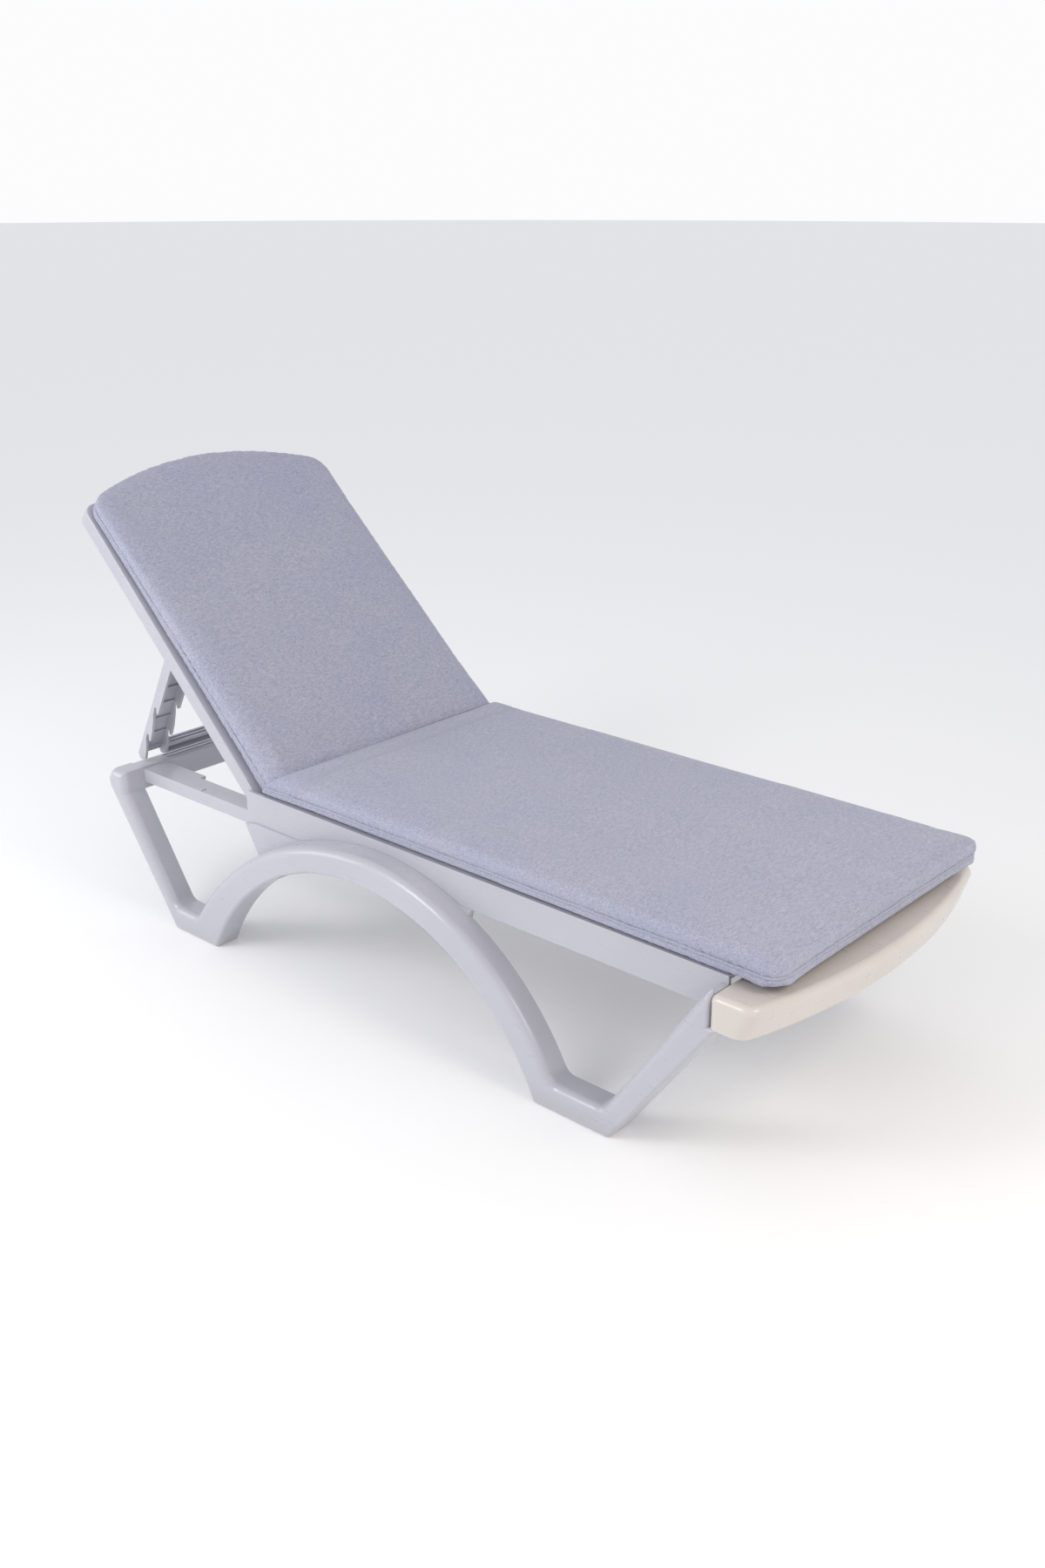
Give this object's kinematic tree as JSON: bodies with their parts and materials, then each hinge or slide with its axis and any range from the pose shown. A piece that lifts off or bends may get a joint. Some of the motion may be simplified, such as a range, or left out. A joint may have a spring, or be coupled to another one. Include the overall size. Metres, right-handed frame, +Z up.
{
  "type": "reclining sun lounger",
  "caption": "Moulded plastic sun lounger with arched side frames, slatted deck, reclining back on a notched prop and a loose two-section cushion.",
  "frame": {"origin": "on the floor, on the centre line, at the middle of the overall length with the back raised", "axes": "+X towards the foot end, +Y to the left of a person lying on it, +Z up"},
  "size_m": [1.8026, 0.7, 0.9162],
  "materials": {
    "frame_plastic": "glossy moulded polypropylene",
    "foot_rail_plastic": "glossy moulded polypropylene, slightly warmer",
    "pin_plastic": "plain moulded nylon",
    "screw_steel": "zinc plated",
    "cushion_fabric": "woven melange outdoor fabric with piped edge"
  },
  "bodies": {
    "base": {"side_frame_right": "frame_plastic", "side_frame_left": "frame_plastic", "side_rail_right": "frame_plastic", "side_rail_left": "frame_plastic", "hinge_pin_right": "pin_plastic", "hinge_pin_left": "pin_plastic", "foot_rail": "foot_rail_plastic", "head_cross_rail": "frame_plastic", "cross_beam_1": "frame_plastic", "cross_beam_2": "frame_plastic", "cross_beam_3": "frame_plastic", "seat_slats": "frame_plastic", "frame_screws": "screw_steel", "seat_cushion": "cushion_fabric"},
    "backrest": {"backrest_rail_right": "frame_plastic", "backrest_rail_left": "frame_plastic", "prop_pin_right": "pin_plastic", "prop_pin_left": "pin_plastic", "backrest_top_rail": "frame_plastic", "backrest_hinge_tube": "frame_plastic", "backrest_slats": "frame_plastic", "back_cushion": "cushion_fabric"},
    "prop": {"prop_leg_right": "frame_plastic", "prop_leg_left": "frame_plastic", "prop_crossbar": "frame_plastic"}
  },
  "joints": [
    {"name": "backrest_recline", "type": "hinge", "parent": "base", "child": "backrest", "pos_m": [-0.36559, 0, 0.328], "axis": [0, 1, 0], "range_deg": [-45, 0]},
    {"name": "prop_fold", "type": "hinge", "parent": "backrest", "child": "prop", "pos_m": [-0.61697, 0, 0.57018], "axis": [0, 1, 0], "range_deg": [0, 107.1]}
  ],
  "couplings": [
    {"joint": "prop_fold", "follows": "backrest_recline", "ratio": -2.38}
  ]
}
